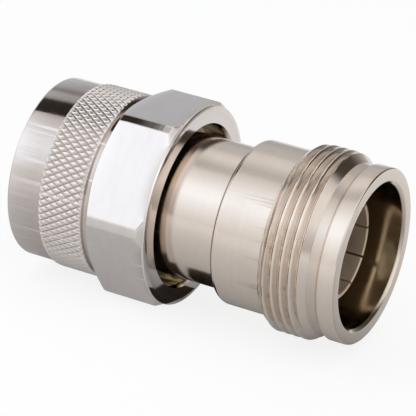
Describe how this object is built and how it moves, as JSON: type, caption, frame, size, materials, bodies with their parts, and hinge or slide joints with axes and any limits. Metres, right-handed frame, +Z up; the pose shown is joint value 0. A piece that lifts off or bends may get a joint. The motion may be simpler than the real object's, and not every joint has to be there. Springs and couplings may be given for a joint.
{
  "type": "n type connector",
  "caption": "Coaxial adapter with a free-turning screw-on plug nut at one end and a threaded jack with a slotted contact basket at the other.",
  "frame": {"origin": "on the axis, at the middle of the jack's outer thread", "axes": "+X along the axis, out of the jack's mouth; +Z up, square to the hexagon flat that faces up as the adapter lies"},
  "size_m": [0.0378, 0.0226, 0.0216],
  "materials": {
    "plated_nut": "satin white bronze plating over turned brass, crisp diamond knurl",
    "plated_body": "satin white bronze plating over turned brass",
    "basket_metal": "silver-plated spring metal, satin",
    "contact_metal": "silver-plated, bright",
    "spring_bronze": "bare spring bronze",
    "white_insulator": "waxy white",
    "gasket_rubber": "matt silicone",
    "seal_rubber": "matt"
  },
  "bodies": {
    "body": {"snap_ring": "spring_bronze", "plug_gasket": "gasket_rubber", "plug_body": "plated_body", "plug_insulator": "white_insulator", "plug_pin": "contact_metal", "jack_body": "plated_body", "body_seal": "seal_rubber", "jack_basket": "basket_metal", "jack_insulator": "white_insulator", "jack_socket": "contact_metal"},
    "nut": {"coupling_nut": "plated_nut"}
  },
  "joints": [
    {"name": "coupling_nut_spin", "type": "hinge", "parent": "body", "child": "nut", "pos_m": [-0.02351, 0, 0], "axis": [1, 0, 0], "continuous": true}
  ]
}
